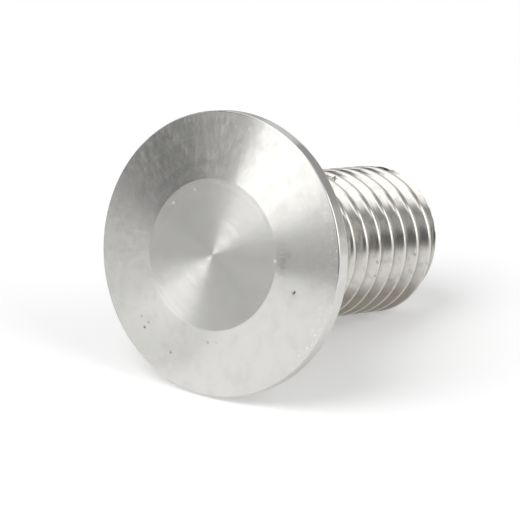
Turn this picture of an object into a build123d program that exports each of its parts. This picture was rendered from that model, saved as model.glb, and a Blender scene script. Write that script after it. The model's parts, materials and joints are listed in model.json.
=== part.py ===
# Rim stud: one turned stainless piece, a broad low head on a coarse-threaded shank.
# It lies as it comes to rest, on the rim of its head and the last crest of its thread.
# Millimetres, +Z up, +X along the shank, origin on the surface under the middle of its box.

import os
from math import atan2, cos, floor, radians, sin, tan

from build123d import *

# Head
head_diameter = 15.0
face_diameter = 8.0  # flat middle of the head
bevel_rise = 0.63  # from the rim up to the flat middle
rim_land = 0.84  # straight side of the rim, with its two small bevels
rim_break = 0.1  # those bevels

# Shank
shank_length = 15.0  # from the underside of the head to the end face
end_chamfer_length = 0.65
end_chamfer_depth = 0.85  # below the thread's crests

# Right-hand thread
thread_diameter = 8.0
thread_pitch = 1.25
thread_angle = 60  # between the two flanks of a groove
crest_flat_share = 1 / 8  # of the pitch
groove_depth_share = 0.6134  # of the pitch
groove_overrun_share = 0.08  # of the pitch, that its section stands out past the crests
groove_turn_share = 0.3876  # of a turn, from where a groove faces up to the start of the thread
tip_share = 1.48  # of the pitch, the last stretch of thread, with the chamfer

# Relief that the thread runs out into, under the head
least_relief_length = 1.8
relief_depth = 1.0  # below the thread's crests
relief_fillet = 1.1  # wide, so that a hole that clears the thread also clears it

head_radius = head_diameter / 2
face_radius = face_diameter / 2
thread_radius = thread_diameter / 2
relief_radius = thread_radius - relief_depth
end_radius = thread_radius - end_chamfer_depth
head_height = rim_land + bevel_rise

# Places along the shank, from the underside of the head. The thread has whole turns up to its tip.
tip_length = thread_pitch * tip_share
tip_start = shank_length - tip_length
whole_turns = floor((tip_start - least_relief_length) / thread_pitch)
thread_start = tip_start - whole_turns * thread_pitch
chamfer_start = shank_length - end_chamfer_length

# Section of the groove, with straight flanks out past the crests
groove_depth = thread_pitch * groove_depth_share
groove_overrun = thread_pitch * groove_overrun_share
flank_slope = tan(radians(thread_angle / 2))
groove_half_mouth = thread_pitch * (1 - crest_flat_share) / 2
groove_half_root = groove_half_mouth - groove_depth * flank_slope
section_half_mouth = groove_half_mouth + groove_overrun * flank_slope
crest_half_width = thread_pitch / 2 - groove_half_mouth

# Half section of the head and relief, as radius and place along the axis.
head_outline = [
    (0, -head_height),
    (face_radius, -head_height),
    (head_radius - rim_break, -rim_land),
    (head_radius, rim_break - rim_land),
    (head_radius, -rim_break),
    (head_radius - rim_break, 0),
    (relief_radius + relief_fillet, 0),
]
relief_outline = [
    (relief_radius, relief_fillet),
    (relief_radius, thread_start),
    (0, thread_start),
]

# Half section of the tip, from its own start.
tip_outline = [
    (0, 0),
    (thread_radius, 0),
    (thread_radius, tip_length - end_chamfer_length),
    (end_radius, tip_length),
    (0, tip_length),
]


# A groove through a stretch of thread: a helix from a turn below it to a turn past its end.
def groove_through(length):
    turns = floor(length / thread_pitch + groove_turn_share) + 3
    with BuildLine() as groove_path:
        Helix(
            thread_pitch,
            turns * thread_pitch,
            thread_radius,
            center=(0, 0, -thread_pitch * (1 + groove_turn_share)),
        )
    groove_plane = Plane(groove_path.line @ 0, x_dir=(1, 0, 0), z_dir=groove_path.line % 0)
    with BuildSketch(groove_plane) as groove_section:
        with BuildLine():
            Polyline(
                (-groove_depth, -groove_half_root),
                (groove_overrun, -section_half_mouth),
                (groove_overrun, section_half_mouth),
                (-groove_depth, groove_half_root),
                close=True,
            )
        make_face()
    return sweep(sections=groove_section.sketch, path=groove_path.line, is_frenet=True)


# One whole turn of thread
with BuildPart() as turn:
    with BuildSketch():
        Circle(thread_radius)
    extrude(amount=thread_pitch)
    add(groove_through(thread_pitch), mode=Mode.SUBTRACT)

# Tip of the thread, with its chamfer
with BuildPart() as tip:
    with BuildSketch(Plane.XZ):
        with BuildLine():
            Polyline(*tip_outline, close=True)
        make_face()
    revolve(axis=Axis.Z)
    add(groove_through(tip_length), mode=Mode.SUBTRACT)

# The stud, standing on its head
with BuildPart() as turned_stud:
    with Locations((0, 0, tip_start)):
        add(tip.part)
    for count in range(whole_turns):
        with Locations((0, 0, thread_start + count * thread_pitch)):
            add(turn.part)
    with BuildSketch(Plane.XZ):
        with BuildLine():
            head_line = Polyline(*head_outline)
            relief_line = Polyline(*relief_outline)
            RadiusArc(head_line @ 1, relief_line @ 0, relief_fillet)
            Line(relief_line @ 1, head_line @ 0)
        make_face()
    revolve(axis=Axis.Z)

# Along the underside of the shank a crest comes half a turn after each groove along its top.
groove_up = thread_start - thread_pitch * groove_turn_share
turns_to_foot = floor((chamfer_start - groove_up + crest_half_width) / thread_pitch)
foot = min(groove_up + turns_to_foot * thread_pitch + crest_half_width, chamfer_start)

# The axis leans down from the head until the rim and that crest both touch the surface.
lean = atan2(head_radius - thread_radius, foot + rim_break)
head_reach = max(radius * sin(lean) - along * cos(lean) for radius, along in head_outline)
end_reach = end_radius * sin(lean) + shank_length * cos(lean)
seat_height = head_radius * cos(lean) - rim_break * sin(lean)

# The seat is the underside of the head: Z runs along the shank, X to the side that faces up.
seat = Plane(
    origin=((head_reach - end_reach) / 2, 0, seat_height),
    x_dir=(sin(lean), 0, cos(lean)),
    z_dir=(cos(lean), 0, -sin(lean)),
)

with BuildPart() as stud:
    with Locations(seat):
        add(turned_stud.part)

stud.part.label = "stud"
os.makedirs("parts", exist_ok=True)
export_step(stud.part, "parts/stud.step")
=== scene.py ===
import json
from math import cos, pi, radians, sin, tan

import bpy
from mathutils import Matrix, Vector


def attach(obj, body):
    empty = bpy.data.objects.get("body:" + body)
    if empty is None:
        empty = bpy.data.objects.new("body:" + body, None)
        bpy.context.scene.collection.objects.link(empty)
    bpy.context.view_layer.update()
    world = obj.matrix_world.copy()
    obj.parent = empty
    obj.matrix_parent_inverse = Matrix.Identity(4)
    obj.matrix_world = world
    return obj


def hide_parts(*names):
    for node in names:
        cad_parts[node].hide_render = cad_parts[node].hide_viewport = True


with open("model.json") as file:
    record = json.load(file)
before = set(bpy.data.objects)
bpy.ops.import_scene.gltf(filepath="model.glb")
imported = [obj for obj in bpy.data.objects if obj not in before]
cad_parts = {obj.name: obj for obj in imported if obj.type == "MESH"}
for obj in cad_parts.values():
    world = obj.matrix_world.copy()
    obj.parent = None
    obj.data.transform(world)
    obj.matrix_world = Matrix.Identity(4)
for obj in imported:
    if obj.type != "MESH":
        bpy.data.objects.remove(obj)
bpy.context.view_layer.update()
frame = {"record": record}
scene = bpy.context.scene
scene.view_settings.view_transform = "Standard"
millimetre = 0.001
bearingHeight = 5.5 * millimetre  # of the bearing mount, from the stud's axis

# Where the stud lies: the middle of the head's underside, and its own three directions
bearing = next(mount for mount in frame["record"]["mounts"] if mount["name"] == "bearing_face")
along = Vector(bearing["axis"])
sideways = Vector((0, -1, 0))
upward = sideways.cross(along)
seat = Vector(bearing["pos_m"]) - upward * bearingHeight
print("stage: frame loaded")


# A value in a node tree. Arithmetic on it adds Math nodes, and node() adds any other.
class Wire:
    def __init__(self, tree, socket=None):
        self.tree = tree
        self.socket = socket

    def node(self, kind, inputs=None, output=0, **settings):
        made = self.tree.nodes.new(kind)
        for name, value in settings.items():
            setattr(made, name, value)
        for name, value in (inputs or {}).items():
            for single in value if isinstance(value, list) else [value]:
                if isinstance(single, Wire):
                    self.tree.links.new(single.socket, made.inputs[name])
                else:
                    made.inputs[name].default_value = single
        return Wire(self.tree, made.outputs[output] if made.outputs else None)

    def math(self, operation, *values):
        return self.node("ShaderNodeMath", dict(enumerate(values)), operation=operation)

    def vector(self, operation, *values, output=0):
        return self.node("ShaderNodeVectorMath", dict(enumerate(values)), output, operation=operation)

    def __add__(self, other):
        return self.math("ADD", self, other)

    def __radd__(self, other):
        return self.math("ADD", other, self)

    def __sub__(self, other):
        return self.math("SUBTRACT", self, other)

    def __rsub__(self, other):
        return self.math("SUBTRACT", other, self)

    def __mul__(self, other):
        return self.math("MULTIPLY", self, other)

    def __rmul__(self, other):
        return self.math("MULTIPLY", other, self)

    def __truediv__(self, other):
        return self.math("DIVIDE", self, other)

    def __rtruediv__(self, other):
        return self.math("DIVIDE", other, self)

    def __pow__(self, other):
        return self.math("POWER", self, other)

    def __rpow__(self, other):
        return self.math("POWER", other, self)

    def __neg__(self):
        return self.math("MULTIPLY", self, -1.0)

    def __abs__(self):
        return self.math("ABSOLUTE", self)

    def least(self, other):
        return self.math("MINIMUM", self, other)

    def most(self, other):
        return self.math("MAXIMUM", self, other)

    def sine(self):
        return self.math("SINE", self)

    def cosine(self):
        return self.math("COSINE", self)

    # 0 below low, 1 above high, smooth between; falls instead where low is above high
    def step(self, low, high):
        inputs = {"Value": self, "From Min": low, "From Max": high, "To Min": 0.0, "To Max": 1.0}
        return self.node("ShaderNodeMapRange", inputs, interpolation_type="SMOOTHSTEP")

    def noise(self, scale):
        return self.node("ShaderNodeTexNoise", {"W": self, "Scale": scale}, noise_dimensions="1D")


noiseMiddle = 0.5
mixFirst, mixSecond, mixResult = 6, 7, 2  # colour sockets of a Mix node
strayShare = 3.0  # how far a mark's edge strays, of the mark's size
solidShare = 0.4  # solid middle of a mark, of its size


# A place on the stud in millimetres: height and breadth across it, reach along it
def studSpot(kit):
    fromSeat = kit.vector("SUBTRACT", kit.node("ShaderNodeTexCoord", output="Object"), seat)
    spot = kit.node("ShaderNodeVectorMath", {0: fromSeat, "Scale": 1 / millimetre}, operation="SCALE")
    height = kit.vector("DOT_PRODUCT", spot, upward, output="Value")
    breadth = kit.vector("DOT_PRODUCT", spot, sideways, output="Value")
    reach = kit.vector("DOT_PRODUCT", spot, along, output="Value")
    reaches = kit.node("ShaderNodeCombineXYZ", {"X": reach, "Y": reach, "Z": reach})
    outward = kit.vector("SUBTRACT", spot, kit.vector("MULTIPLY", reaches, along))
    return spot, height, breadth, reach, outward


def patchNoise(kit, spot, scale, detail=2.0):
    return kit.node("ShaderNodeTexNoise", {"Vector": spot, "Scale": scale, "Detail": detail})


def mixColours(kit, share, first, second):
    inputs = {"Factor": share, mixFirst: first, mixSecond: second}
    return kit.node("ShaderNodeMix", inputs, mixResult, data_type="RGBA")


def leanNormal(kit, direction, amount):
    scaled = kit.node("ShaderNodeCombineXYZ", {"X": amount, "Y": amount, "Z": amount})
    normal = kit.node("ShaderNodeNewGeometry", output="Normal")
    tilted = kit.vector("ADD", normal, kit.vector("MULTIPLY", direction, scaled))
    return kit.vector("NORMALIZE", tilted)


# 1 within a mark, fading to 0 at its ragged edge, by how far each coordinate is from its middle
def markShare(offsets, size, ragged):
    away = sum(offset ** 2.0 for offset in offsets) ** 0.5
    stray = (ragged - noiseMiddle) * size * strayShare
    return (away + stray).step(size, size * solidShare)


def finishSteel(kit, colour, roughness, normal):
    inputs = {"Base Color": colour, "Roughness": roughness, "Normal": normal, "Metallic": 1.0}
    shader = kit.node("ShaderNodeBsdfPrincipled", inputs)
    kit.node("ShaderNodeOutputMaterial", {"Surface": shader})


def newMaterial(name):
    material = bpy.data.materials.new(name)
    material.use_nodes = True
    material.node_tree.nodes.clear()
    return material, Wire(material.node_tree)


# Faced head. A pair says where something starts and where it is full: in millimetres, or in noise.
head = {
    "colour": (0.657, 0.652, 0.628, 1.0),
    "worn": (0.62, 0.61, 0.585, 1.0),
    # dark tone of the dirt marks
    "dirt": (0.10, 0.08, 0.07, 1.0),
    "rust": (0.42, 0.24, 0.19, 1.0),
    # colour of the painted glints
    "bright": (0.92, 0.92, 0.91, 1.0),
    "roughness": 0.14,
    "roughnessSpread": 0.06,
    "clouds": 1.1,
    "cloudDetail": 4.0,
    "wornNoise": (0.42, 0.75),
    "fineRings": 500.0,
    "fineLean": 0.78,
    "broadRings": 7.0,
    "broadLean": 0.015,
    "streaks": 3.0,
    "streakDetail": 3.0,
    "streakFan": (6.0, 6.0, 6.0),  # how finely they part round the head
    "streakDrift": (0.6, 0.6, 0.6),  # how soon they change on their way outwards
    "streakRadius": (3.9, 4.1),
    "streakLean": 0.08,
    "topStreakLean": 0.18,  # added towards the top
    "topStreakHeight": (1.5, 4.5),
    "faceReach": (-0.5, -0.8),
    "specks": 9.0,
    "speckDetail": 1.0,
    "speckNoise": (0.66, 0.72),
    "speckStrength": 0.8,
    "speckRadius": (6.3, 7.0),
    "speckBreadth": (5.0, 6.5),
    "speckHeight": (5.0, 6.2),
    "topSpeckShare": 0.6,
    "ragged": 8.0,
    # height, breadth, radius and strength of each mark
    # dark marks of dirt
    "dirtMarks": [
        (-0.95, 5.2, 0.12, 0.8),
        (-4.75, -3.85, 0.10, 0.7),
        (-4.4, -3.6, 0.07, 0.6),
        (-4.0, -3.2, 0.06, 0.5),
        (-5.7, -2.0, 0.07, 0.5),
        (-4.2, -4.1, 0.06, 0.5),
        (0.9, 4.4, 0.34, 0.08),
        (0.45, 4.35, 0.36, 0.11),
        (0.05, 4.45, 0.34, 0.07),
    ],
    "rustMarks": [
        (-4.6, 0.4, 0.10, 0.4),
        (-4.5, 0.9, 0.10, 0.4),
    ],
    # painted glints
    "brightMarks": [
        (3.15, -1.65, 0.09, 0.9),
        (2.2, -2.9, 0.08, 0.9),
        (0.45, 3.9, 0.10, 0.9),
    ],
}
headSteel, kit = newMaterial("facedSteel")
spot, height, breadth, reach, outward = studSpot(kit)
radius = kit.vector("LENGTH", outward, output="Value")
radial = kit.vector("NORMALIZE", outward)

# Turned rings, and streaks across them on the bevel
lean = (radius.noise(head["fineRings"]) - noiseMiddle) * head["fineLean"]
lean = lean + (radius.noise(head["broadRings"]) - noiseMiddle) * head["broadLean"]
fan = kit.vector("MULTIPLY", radial, head["streakFan"])
fan = kit.vector("ADD", fan, kit.vector("MULTIPLY", spot, head["streakDrift"]))
streak = patchNoise(kit, fan, head["streaks"], head["streakDetail"])
streakLean = height.step(*head["topStreakHeight"]) * head["topStreakLean"] + head["streakLean"]
lean = lean + (streak - noiseMiddle) * radius.step(*head["streakRadius"]) * streakLean

# Worn patches, dirt and rust marks, and painted glints: bright marks, and bright specks near the rim at
# one side and towards the top
cloud = patchNoise(kit, spot, head["clouds"], head["cloudDetail"])
colour = mixColours(kit, cloud.step(*head["wornNoise"]), head["colour"], head["worn"])
onFace = reach.step(*head["faceReach"])
ragged = patchNoise(kit, spot, head["ragged"])
for kind in ("dirt", "rust", "bright"):
    for markHeight, markBreadth, size, strength in head[kind + "Marks"]:
        mark = markShare((height - markHeight, breadth - markBreadth), size, ragged)
        colour = mixColours(kit, mark * onFace * strength, colour, head[kind])
# painted glints: bright specks near the rim
speck = patchNoise(kit, spot, head["specks"], head["speckDetail"]).step(*head["speckNoise"])
topSpeck = height.step(*head["speckHeight"]) * head["topSpeckShare"]
nearRim = radius.step(*head["speckRadius"]) * breadth.step(*head["speckBreadth"]).most(topSpeck)
colour = mixColours(kit, speck * nearRim * onFace * head["speckStrength"], colour, head["bright"])
roughness = (cloud - noiseMiddle) * head["roughnessSpread"] + head["roughness"]
finishSteel(kit, colour, roughness, leanNormal(kit, radial, lean))

# Threaded shank, with pairs as on the head
shank = {
    "colour": (0.66, 0.65, 0.62, 1.0),
    "root": (0.42, 0.39, 0.34, 1.0),
    # colour of the painted shade on the thread's crests along the top and in its lower grooves
    "dirt": (0.27, 0.235, 0.19, 1.0),
    "mark": (0.09, 0.08, 0.07, 1.0),
    "roughness": 0.20,
    "scratches": 26.0,
    "scratchLean": 0.25,
    "threadReach": (1.8, 1.95),
    "endReach": (14.98, 14.9),
    "rootRadius": (3.75, 3.25),
    "clouds": 2.2,
    "cloudDetail": 4.0,
    "cloudNoise": (0.5, 0.68),
    "cloudStrength": 0.4,
    # painted shade on the crests along the top
    "topCrestShadeRadius": (3.93, 3.99),
    "topCrestShadeHeight": (2.3, 3.1),
    "topCrestShadeStrength": 0.55,
    # painted shade in the grooves, strongest underneath and lighter at the sides
    "grooveShadeRadius": (4.01, 3.94),
    "underShadeHeight": (-1.2, -2.4),
    "underShadeStrength": 0.62,
    "sideShadeHeight": (1.5, -0.5),
    "sideShadeStrength": 0.14,
    "ragged": 8.0,
    # height, breadth, reach, radius and strength of each dark mark
    "marks": [
        (3.75, 0.7, 8.15, 0.17, 0.9),
        (3.85, -0.05, 14.35, 0.25, 0.9),
        (-0.15, 3.9, 8.5, 0.13, 0.45),
        (-0.25, 3.7, 9.65, 0.20, 0.25),
        (0.0, 3.9, 12.2, 0.13, 0.35),
        (-0.95, 3.9, 8.55, 0.09, 0.4),
    ],
}
shankSteel, kit = newMaterial("threadSteel")
spot, height, breadth, reach, outward = studSpot(kit)
radius = kit.vector("LENGTH", outward, output="Value")
onThread = reach.step(*shank["threadReach"]) * reach.step(*shank["endReach"])
atRoot = radius.step(*shank["rootRadius"]) * onThread
colour = mixColours(kit, atRoot, shank["colour"], shank["root"])
cloud = patchNoise(kit, spot, shank["clouds"], shank["cloudDetail"]).step(*shank["cloudNoise"])
colour = mixColours(kit, cloud * shank["cloudStrength"], colour, shank["root"])

# Painted shade: crests darker along the top, and grooves darker between them below and at the sides
topCrestShade = radius.step(*shank["topCrestShadeRadius"]) * height.step(*shank["topCrestShadeHeight"]) * shank["topCrestShadeStrength"]
underShade = height.step(*shank["underShadeHeight"]) * shank["underShadeStrength"]
sideShade = height.step(*shank["sideShadeHeight"]) * shank["sideShadeStrength"]
grooveShade = radius.step(*shank["grooveShadeRadius"]) * (underShade + sideShade)
colour = mixColours(kit, grooveShade.most(topCrestShade) * onThread, colour, shank["dirt"])
ragged = patchNoise(kit, spot, shank["ragged"])
for markHeight, markBreadth, markReach, size, strength in shank["marks"]:
    offsets = (height - markHeight, breadth - markBreadth, reach - markReach)
    mark = markShare(offsets, size, ragged)
    colour = mixColours(kit, mark * strength, colour, shank["mark"])
lean = (reach.noise(shank["scratches"]) - noiseMiddle) * shank["scratchLean"]
finishSteel(kit, colour, shank["roughness"], leanNormal(kit, along, lean))
print("stage: steel made")

# The stud, as bands round its axis, in millimetres
stud = {
    "sizes": {
        "Head Radius": 7.5,
        "Face Radius": 4.0,
        "Bevel Rise": 0.63,
        "Rim Land": 0.84,
        "Rim Break": 0.1,
        "Relief Radius": 3.0,
        "Relief Fillet": 1.1,
        "Thread Start": 1.9,
        "Thread Radius": 4.0,
        "Pitch": 1.25,
        "Groove Up": 1.4155,
        "Tip Start": 13.9,
        "Shank Length": 15.0,
        "Chamfer Length": 0.65,
        "Chamfer Depth": 0.85,
    },
    "columns": 256,
    "lineRows": 4,
    "arcRows": 5,
    "turns": 12,
    "rowsPerTurn": 16,
    "tipRows": 48,
    "rowCrowding": 6.0,  # on straight bands
    "rowWarp": 0.7,  # on the thread
    "flankAngle": 30,
    "grooveDepthShare": 0.6134,  # of the pitch
    "crestHalfShare": 1 / 16,  # of the pitch
    "edgeRounding": 0.03,
    "mergeDistance": 0.001,
    "sharpBend": 50,  # degrees, past which the shading breaks
    "shankLevel": 0.01,  # from here on the steel is the thread's
}
tree = bpy.data.node_groups.new("turnedStud", "GeometryNodeTree")
tree.interface.new_socket(name="Geometry", in_out="OUTPUT", socket_type="NodeSocketGeometry")
sockets = {}
for name in stud["sizes"]:
    sockets[name] = tree.interface.new_socket(name=name, in_out="INPUT", socket_type="NodeSocketFloat")
kit = Wire(tree)
entry = tree.nodes.new("NodeGroupInput")
size = {name: Wire(tree, entry.outputs[name]) for name in stud["sizes"]}
pitch = size["Pitch"]
crestStart = size["Groove Up"] - pitch * 0.5


# A grid rolled up round the axis. place() gives its radius and level from shares round and along it.
def band(rows, place):
    count = {"Size X": 1.0, "Size Y": 1.0, "Vertices X": stud["columns"] + 1, "Vertices Y": rows + 1}
    grid = kit.node("GeometryNodeMeshGrid", count, "Mesh")
    apart = kit.node("ShaderNodeSeparateXYZ", {"Vector": kit.node("GeometryNodeInputPosition")})
    across = Wire(tree, apart.socket.node.outputs["X"]) + 0.5
    forward = Wire(tree, apart.socket.node.outputs["Y"]) + 0.5
    radius, level = place(across, forward)
    turn = across * (2 * pi)
    shape = {"X": radius * turn.cosine(), "Y": radius * turn.sine(), "Z": level}
    moved = kit.node("ShaderNodeCombineXYZ", shape)
    return kit.node("GeometryNodeSetPosition", {"Geometry": grid, "Position": moved})


# Rows crowd to both ends of a straight band, so that only its edges are rounded by the shading.
def crowded(forward):
    swing = forward * 2.0 - 1.0
    reached = 1.0 - (1.0 - abs(swing)) ** stud["rowCrowding"]
    return swing.math("SIGN", swing) * reached * 0.5 + 0.5


def line(start, stop):
    def place(across, forward):
        share = crowded(forward)
        return tuple((second - first) * share + first for first, second in zip(start, stop))
    return band(stud["lineRows"], place)


def arc(start, corner, stop):
    def place(across, forward):
        back = 1.0 - forward
        made = []
        for first, second, third in zip(start, corner, stop):
            made.append(back * back * first + back * forward * second * 2.0 + forward * forward * third)
        return tuple(made)
    return band(stud["arcRows"], place)


def threadRadius(level, across):
    turns = (level - crestStart) / pitch - across
    apart = abs(turns - turns.math("ROUND", turns)) * pitch
    slope = (apart - pitch * stud["crestHalfShare"]) / tan(radians(stud["flankAngle"]))
    slope = slope.math("SMOOTH_MAX", slope, 0.0, stud["edgeRounding"])
    deepest = pitch * stud["grooveDepthShare"]
    depth = slope.math("SMOOTH_MIN", slope, deepest, stud["edgeRounding"])
    fromEnd = (size["Shank Length"] - level) / size["Chamfer Length"] - 1.0
    chamfer = fromEnd * size["Chamfer Depth"] + size["Thread Radius"]
    return (size["Thread Radius"] - depth).least(chamfer)


def shoulderPlace(across, forward):
    outer = threadRadius(size["Thread Start"], across)
    share = crowded(forward)
    return (outer - size["Relief Radius"]) * share + size["Relief Radius"], size["Thread Start"]


# Thread rows follow the helix, closer together at crests and roots.
def threadPlace(across, forward):
    twoWaves = 4 * pi
    turns = forward * float(stud["turns"]) - 1.0
    warped = turns - (turns * twoWaves).sine() * (stud["rowWarp"] / twoWaves)
    level = (warped + across) * pitch + crestStart
    level = level.most(size["Thread Start"]).least(size["Tip Start"])
    return threadRadius(level, across), level


def tipPlace(across, forward):
    level = (size["Shank Length"] - size["Tip Start"]) * forward + size["Tip Start"]
    return threadRadius(level, across), level


def endPlace(across, forward):
    outer = threadRadius(size["Shank Length"], across)
    return outer * (1.0 - crowded(forward)), size["Shank Length"]


# Corners of the head and relief, as radius and level
headRadius = size["Head Radius"]
reliefRadius = size["Relief Radius"]
headTop = -(size["Rim Land"] + size["Bevel Rise"])
landTop = -size["Rim Land"]
rimInner = headRadius - size["Rim Break"]
faceMiddle = (0.0, headTop)
faceEdge = (size["Face Radius"], headTop)
bevelFoot = (rimInner, landTop)
rimTop = (headRadius, landTop + size["Rim Break"])
rimFoot = (headRadius, -size["Rim Break"])
underEdge = (rimInner, 0.0)
filletEdge = (reliefRadius + size["Relief Fillet"], 0.0)
reliefTop = (reliefRadius, size["Relief Fillet"])
reliefFoot = (reliefRadius, size["Thread Start"])
bands = [
    line(faceMiddle, faceEdge),
    line(faceEdge, bevelFoot),
    arc(bevelFoot, (headRadius, landTop), rimTop),
    line(rimTop, rimFoot),
    arc(rimFoot, (headRadius, 0.0), underEdge),
    line(underEdge, filletEdge),
    arc(filletEdge, (reliefRadius, 0.0), reliefTop),
    line(reliefTop, reliefFoot),
    band(stud["lineRows"], shoulderPlace),
    band(stud["turns"] * stud["rowsPerTurn"], threadPlace),
    band(stud["tipRows"], tipPlace),
    band(stud["lineRows"], endPlace),
]
joined = kit.node("GeometryNodeJoinGeometry", {"Geometry": bands})
closing = {"Geometry": joined, "Distance": stud["mergeDistance"]}
merged = kit.node("GeometryNodeMergeByDistance", closing)
smooth = kit.node("GeometryNodeSetShadeSmooth", {"Geometry": merged, "Shade Smooth": True})
bend = {"A": kit.node("GeometryNodeInputMeshEdgeAngle"), "B": radians(stud["sharpBend"])}
sharp = kit.node("FunctionNodeCompare", bend, operation="GREATER_THAN")
breaking = {"Geometry": smooth, "Selection": sharp, "Shade Smooth": False}
edged = kit.node("GeometryNodeSetShadeSmooth", breaking, domain="EDGE")
real = kit.node("GeometryNodeRealizeInstances", {"Geometry": edged})
faced = kit.node("GeometryNodeSetMaterial", {"Geometry": real, "Material": headSteel})
level = kit.node("ShaderNodeSeparateXYZ", {"Vector": kit.node("GeometryNodeInputPosition")}, "Z")
past = {"A": level, "B": stud["shankLevel"]}
onShank = kit.node("FunctionNodeCompare", past, operation="GREATER_THAN")
threading = {"Geometry": faced, "Selection": onShank, "Material": shankSteel}
threaded = kit.node("GeometryNodeSetMaterial", threading)
kit.node("NodeGroupOutput", {"Geometry": threaded})

studPiece = bpy.data.objects.new("turnedStud", bpy.data.meshes.new("turnedStud"))
scene.collection.objects.link(studPiece)
modifier = studPiece.modifiers.new("turnedStud", "NODES")
modifier.node_group = tree
for name, value in stud["sizes"].items():
    modifier[sockets[name].identifier] = value
depsgraph = bpy.context.evaluated_depsgraph_get()
mesh = bpy.data.meshes.new_from_object(studPiece.evaluated_get(depsgraph))
studPiece.modifiers.clear()
studPiece.data = mesh
turning = Matrix((upward, sideways, along)).transposed().to_4x4()
mesh.transform(Matrix.Translation(seat) @ turning @ Matrix.Scale(millimetre, 4))
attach(studPiece, "root")
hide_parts("stud")
print("stage: stud made,", len(mesh.polygons), "faces")

# Camera
view = {
    "place": (-0.20555, -0.14234, 0.1005),
    "azimuth": -54.84,
    "elevation": 20.93,
    "lens": 346.15,
    "sensor": 36.0,
    "clipStart": 0.001,
}
camera = bpy.data.objects.new("camera", bpy.data.cameras.new("camera"))
camera.location = view["place"]
camera.rotation_euler = (radians(90 - view["elevation"]), 0, radians(view["azimuth"]))
camera.data.lens = view["lens"]
camera.data.sensor_width = view["sensor"]
camera.data.clip_start = view["clipStart"]
camera.data.dof.use_dof = False
scene.collection.objects.link(camera)
scene.camera = camera

# White floor, world and studio: seen white, with the shadow kept in the floor's own shading
studio = {
    "floorSize": 3.0,
    "floorColour": (0.8, 0.8, 0.8, 1.0),
    "floorGlow": 0.33,
    "ambient": 0.30,
    "middle": (0, 0, 0.007),  # of the stud, which cards and lamps face
    "cardDistance": 0.6,
    "cardSteps": 24,
    "floorCardLift": (0, 0, 0.0003),
    # from and to in degrees left of the camera, from and to above the horizon, and how bright
    "cards": {
        "leftSoftbox": (49, 66, 12, 46, 1.75),
        "softboxSide": (41, 49, 18, 46, 1.3),
        "softboxFoot": (58, 66, 8, 12, 1.8),
        "softboxCorner": (62, 66, 4, 8, 2.0),
        "sideGrey": (41, 49, 12, 18, 0.82),
        "lowGrey": (41, 58, 8, 12, 0.6),
        "lowDark": (41, 62, 4, 8, 0.38),
        "leftEdge": (66, 74, 4, 18, 0.36),
        "leftDark": (74, 91, 4, 18, 0.18),
        "leftTop": (66, 91, 18, 25, 0.4),
        "leftFar": (91, 98, 4, 18, 0.5),
        "horizon": (62, 98, -1, 4, 0.48),
        "cameraDark": (-35, 35, 3, 20, 0.10),
        "cameraGrey": (-35, 35, 20, 32, 0.48),
        "cameraTop": (-35, 35, 32, 41, 0.2),
        "cameraHigh": (-35, 35, 41, 46, 1.7),
        "rightSoftbox": (-85, -42, 10, 46, 3.0),
        "backLeft": (112, 150, -1, 34, 0.5),
        "backLow": (150, 205, -1, 7, 0.5),
        "backHigh": (150, 205, 7, 34, 0.75),
        "backRight": (205, 250, 11, 34, 0.42),
        "rightLow": (205, 250, -1, 11, 0.58),
        "topDark": (73, 135, 36, 62, 0.12),
        "ceilingSide": (-12, 73, 46, 62, 1.7),
        "ceilingDark": (-100, -12, 46, 70, 0.4),
        "ceilingBack": (-225, -100, 46, 62, 1.7),
        "ceilingRing": (-12, 260, 62, 70, 1.7),
        "ceiling": (-180, 180, 70, 88, 1.7),
    },
    # from and to in degrees left of the camera, nearest and furthest, and how bright
    "floorCards": {
        "floorBright": (66, 75, 0.036, 0.11, 2.2),
        "floorShade": (58, 66, 0.036, 0.09, 0.95),
        "floorNear": (50, 76, 0.012, 0.036, 0.92),
        "floorFront": (25, 50, 0.009, 0.09, 1.12),
        "floorLeft": (76, 92, 0.014, 0.09, 0.86),
        "floorFar": (75, 92, 0.09, 0.5, 0.6),
        "floorBack": (155, 205, 0.012, 0.5, 0.5),
        "floorRight": (238, 258, 0.045, 0.5, 0.8),
    },
    # degrees left of the camera and above the horizon, size, distance and power
    "lamps": {
        "keyLamp": (50, 54, 1.0, 1.2, 8.8),
        "fillLamp": (-50, 40, 0.6, 1.2, 3.4),
    },
}
middle = Vector(studio["middle"])


def seenRays(kit):
    seen = None
    for name in ("Is Camera Ray", "Is Glossy Ray", "Is Transmission Ray"):
        ray = kit.node("ShaderNodeLightPath", output=name)
        seen = ray if seen is None else seen.most(ray)
    return seen


def towards(left, elevation):
    facing = radians(view["azimuth"])
    towardCamera = Vector((sin(facing), -cos(facing), 0))
    toLeft = Vector((-cos(facing), -sin(facing), 0))
    flat = towardCamera * cos(radians(left)) + toLeft * sin(radians(left))
    return flat * cos(radians(elevation)) + Vector((0, 0, sin(radians(elevation))))


half = studio["floorSize"] / 2
corners = [(-half, -half, 0), (half, -half, 0), (half, half, 0), (-half, half, 0)]
floorMesh = bpy.data.meshes.new("floor")
floorMesh.from_pydata(corners, [], [(0, 1, 2, 3)])
floor = bpy.data.objects.new("floor", floorMesh)
scene.collection.objects.link(floor)
floorPaint, kit = newMaterial("floorPaint")
paint = kit.node("ShaderNodeBsdfDiffuse", {"Color": studio["floorColour"]})
glow = kit.node("ShaderNodeEmission", {"Strength": seenRays(kit) * studio["floorGlow"]})
both = kit.node("ShaderNodeAddShader", {0: paint, 1: glow})
kit.node("ShaderNodeOutputMaterial", {"Surface": both})
floorMesh.materials.append(floorPaint)

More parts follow.
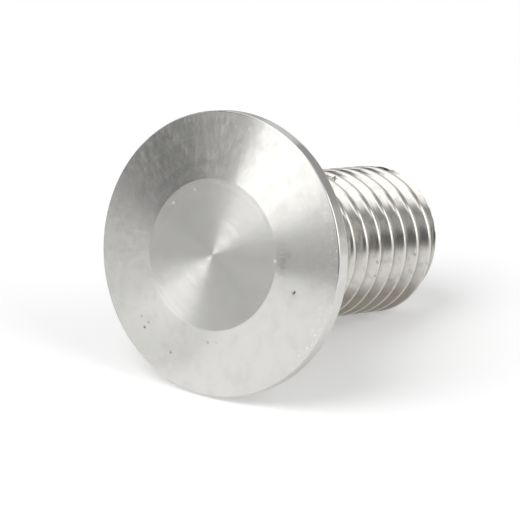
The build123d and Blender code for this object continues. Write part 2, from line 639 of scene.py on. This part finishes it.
world = bpy.data.worlds.new("studioWorld")
world.use_nodes = True
world.node_tree.nodes.clear()
scene.world = world
kit = Wire(world.node_tree)
strength = seenRays(kit) * (1 - studio["ambient"]) + studio["ambient"]
background = kit.node("ShaderNodeBackground", {"Color": (1, 1, 1, 1), "Strength": strength})
kit.node("ShaderNodeOutputWorld", {"Surface": background})


# A card that only the steel sees. place() gives a point from shares across it and up or outwards.
def addCard(name, place, brightness):
    steps = studio["cardSteps"]
    points = []
    for row in range(steps + 1):
        for column in range(steps + 1):
            points.append(place(column / steps, row / steps))
    faces = []
    for row in range(steps):
        for column in range(steps):
            first = row * (steps + 1) + column
            faces.append((first, first + 1, first + steps + 2, first + steps + 1))
    cardMesh = bpy.data.meshes.new(name)
    cardMesh.from_pydata(points, [], faces)
    card = bpy.data.objects.new(name, cardMesh)
    scene.collection.objects.link(card)
    cardPaint, kit = newMaterial(name)
    light = kit.node("ShaderNodeEmission", {"Strength": brightness})
    kit.node("ShaderNodeOutputMaterial", {"Surface": light})
    cardMesh.materials.append(cardPaint)
    card.visible_camera = False
    card.visible_shadow = False
    card.visible_diffuse = False


for name, (leftLow, leftHigh, low, high, brightness) in studio["cards"].items():
    def place(across, upwards):
        way = towards(leftLow + (leftHigh - leftLow) * across, low + (high - low) * upwards)
        return middle + way * studio["cardDistance"]
    addCard(name, place, brightness)
for name, (leftLow, leftHigh, near, far, brightness) in studio["floorCards"].items():
    def place(across, outwards):
        way = towards(leftLow + (leftHigh - leftLow) * across, 0)
        return way * (near + (far - near) * outwards) + Vector(studio["floorCardLift"])
    addCard(name, place, brightness)

for name, (left, elevation, width, distance, power) in studio["lamps"].items():
    lamp = bpy.data.lights.new(name, "AREA")
    lamp.shape = "DISK"
    lamp.size = width
    lamp.energy = power
    way = towards(left, elevation)
    lampObject = bpy.data.objects.new(name, lamp)
    lampObject.location = middle + way * distance
    lampObject.rotation_euler = way.to_track_quat("Z", "Y").to_euler()
    lampObject.visible_glossy = False
    scene.collection.objects.link(lampObject)
print("stage: studio lit")
